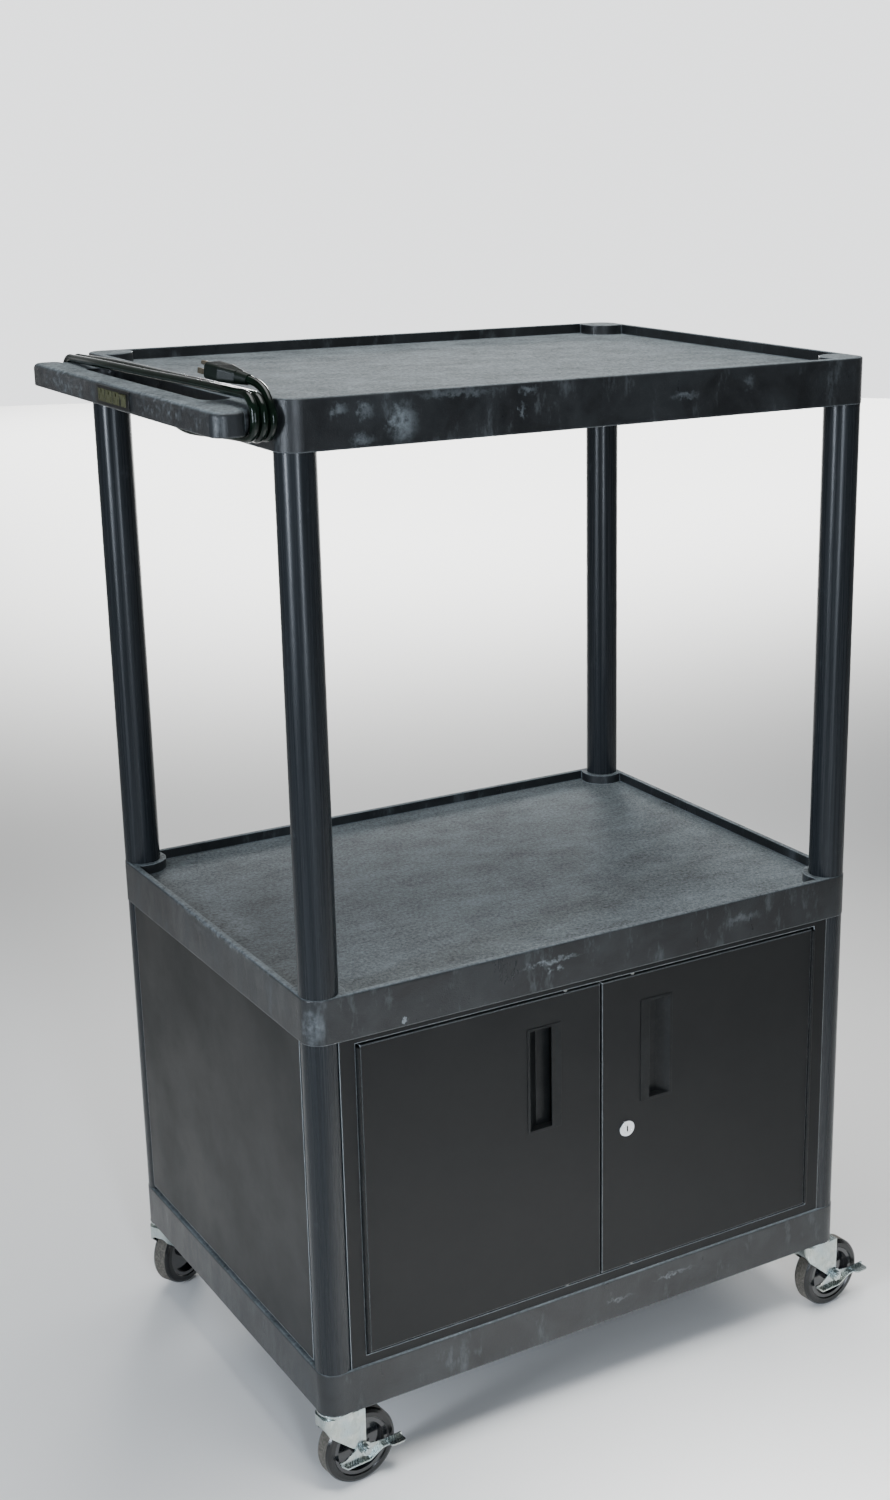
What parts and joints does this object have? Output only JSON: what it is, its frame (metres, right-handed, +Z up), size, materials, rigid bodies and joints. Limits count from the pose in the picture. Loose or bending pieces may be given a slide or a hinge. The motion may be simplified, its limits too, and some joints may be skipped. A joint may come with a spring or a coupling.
{
  "type": "audio visual cart",
  "caption": "Audio visual cart: moulded shelves on round legs, a lockable steel cabinet, a push handle with outlets and a wound mains lead, and braked swivel casters.",
  "frame": {"origin": "bottom centre of the cart's bounding box, on the floor, without the lead and its plug", "axes": "+Z up; +Y from the doors to the back; +X along the doors, away from the push handle"},
  "size_m": [0.9502, 0.6358, 1.4059],
  "materials": {
    "moulded_shelf": "matte, faintly grained moulding",
    "moulded_leg": "semi-gloss moulding",
    "cabinet_steel": "matte powder coat",
    "black_fitting": "satin black coat",
    "lock_chrome": "polished",
    "zinc_steel": "bright zinc plate",
    "wheel_rubber": "worn rubber tread",
    "wheel_centre": "glossy moulding",
    "buffer_rubber": "soft matte",
    "lead_jacket": "glossy jacket",
    "blade_brass": "bright",
    "receptacle_plastic": "satin moulding",
    "outlet_plastic": "satin moulding"
  },
  "bodies": {
    "cart": {"top_shelf": "moulded_shelf", "middle_shelf": "moulded_shelf", "bottom_shelf": "moulded_shelf", "upper_leg_fl": "moulded_leg", "lower_leg_fl": "moulded_leg", "upper_leg_fr": "moulded_leg", "lower_leg_fr": "moulded_leg", "upper_leg_bl": "moulded_leg", "lower_leg_bl": "moulded_leg", "upper_leg_br": "moulded_leg", "lower_leg_br": "moulded_leg", "cabinet_left_side": "cabinet_steel", "cabinet_right_side": "cabinet_steel", "cabinet_back": "cabinet_steel", "cabinet_front_frame": "cabinet_steel", "cabinet_screws": "zinc_steel", "door_bumpers": "buffer_rubber", "right_hinge_frame_leaf": "black_fitting", "left_hinge_frame_leaf": "black_fitting", "right_hinge_pin": "black_fitting", "left_hinge_pin": "black_fitting", "caster_stems": "zinc_steel", "outlet_box": "outlet_plastic", "outlet_plate": "outlet_plastic", "outlet_receptacles": "receptacle_plastic", "cord_strain_relief": "lead_jacket", "power_cord": "lead_jacket", "plug_body": "lead_jacket", "plug_blades": "blade_brass"},
    "left_door": {"left_door": "cabinet_steel", "left_hinge_door_leaf": "black_fitting", "left_door_pull": "black_fitting"},
    "right_door": {"right_door": "cabinet_steel", "right_hinge_door_leaf": "black_fitting", "right_door_pull": "black_fitting", "lock_barrel": "lock_chrome", "lock_nut": "zinc_steel"},
    "lock_cylinder": {"lock_plug": "lock_chrome", "lock_cam": "zinc_steel", "cam_screw": "zinc_steel"},
    "rocker_switch": {"outlet_switch": "receptacle_plastic"},
    "yoke_fl": {"caster_fl_yoke": "zinc_steel", "caster_fl_axle": "zinc_steel"},
    "wheel_fl": {"caster_fl_tyre": "wheel_rubber", "caster_fl_hub": "wheel_centre"},
    "brake_fl": {"caster_fl_brake": "zinc_steel"},
    "yoke_fr": {"caster_fr_yoke": "zinc_steel", "caster_fr_axle": "zinc_steel"},
    "wheel_fr": {"caster_fr_tyre": "wheel_rubber", "caster_fr_hub": "wheel_centre"},
    "brake_fr": {"caster_fr_brake": "zinc_steel"},
    "yoke_bl": {"caster_bl_yoke": "zinc_steel", "caster_bl_axle": "zinc_steel"},
    "wheel_bl": {"caster_bl_tyre": "wheel_rubber", "caster_bl_hub": "wheel_centre"},
    "yoke_br": {"caster_br_yoke": "zinc_steel", "caster_br_axle": "zinc_steel"},
    "wheel_br": {"caster_br_tyre": "wheel_rubber", "caster_br_hub": "wheel_centre"}
  },
  "joints": [
    {"name": "left_door_hinge", "type": "hinge", "parent": "cart", "child": "left_door", "pos_m": [-0.3358, -0.31325, 0.39825], "axis": [0, 0, -1], "range_deg": [0, 165]},
    {"name": "right_door_hinge", "type": "hinge", "parent": "cart", "child": "right_door", "pos_m": [0.3536, -0.31325, 0.39825], "axis": [0, 0, 1], "range_deg": [0, 165]},
    {"name": "lock_turn", "type": "hinge", "parent": "right_door", "child": "lock_cylinder", "pos_m": [0.0489, -0.31325, 0.393], "axis": [0, 1, 0], "range_deg": [0, 90]},
    {"name": "switch_rock", "type": "hinge", "parent": "cart", "child": "rocker_switch", "pos_m": [-0.4711, -0.04525, 1.348], "axis": [0, 1, 0], "range_deg": [0, 14]},
    {"name": "swivel_fl", "type": "hinge", "parent": "cart", "child": "yoke_fl", "pos_m": [-0.3731, -0.28975, 0.1056], "axis": [0, 0, 1], "continuous": true},
    {"name": "roll_fl", "type": "hinge", "parent": "yoke_fl", "child": "wheel_fl", "pos_m": [-0.3462, -0.2874, 0.0508], "axis": [-0.0872, 0.9962, 0], "continuous": true},
    {"name": "brake_fl_press", "type": "hinge", "parent": "yoke_fl", "child": "brake_fl", "pos_m": [-0.3462, -0.2874, 0.0508], "axis": [-0.0872, 0.9962, 0], "range_deg": [0, 18]},
    {"name": "swivel_fr", "type": "hinge", "parent": "cart", "child": "yoke_fr", "pos_m": [0.3909, -0.28975, 0.1056], "axis": [0, 0, 1], "continuous": true},
    {"name": "roll_fr", "type": "hinge", "parent": "yoke_fr", "child": "wheel_fr", "pos_m": [0.4178, -0.2874, 0.0508], "axis": [-0.0872, 0.9962, 0], "continuous": true},
    {"name": "brake_fr_press", "type": "hinge", "parent": "yoke_fr", "child": "brake_fr", "pos_m": [0.4178, -0.2874, 0.0508], "axis": [-0.0872, 0.9962, 0], "range_deg": [0, 18]},
    {"name": "swivel_bl", "type": "hinge", "parent": "cart", "child": "yoke_bl", "pos_m": [-0.3731, 0.27125, 0.1056], "axis": [0, 0, 1], "continuous": true},
    {"name": "roll_bl", "type": "hinge", "parent": "yoke_bl", "child": "wheel_bl", "pos_m": [-0.34926, 0.28392, 0.0508], "axis": [-0.4695, 0.8829, 0], "continuous": true},
    {"name": "swivel_br", "type": "hinge", "parent": "cart", "child": "yoke_br", "pos_m": [0.3909, 0.27125, 0.1056], "axis": [0, 0, 1], "continuous": true},
    {"name": "roll_br", "type": "hinge", "parent": "yoke_br", "child": "wheel_br", "pos_m": [0.41627, 0.28048, 0.0508], "axis": [-0.342, 0.9397, 0], "continuous": true}
  ]
}
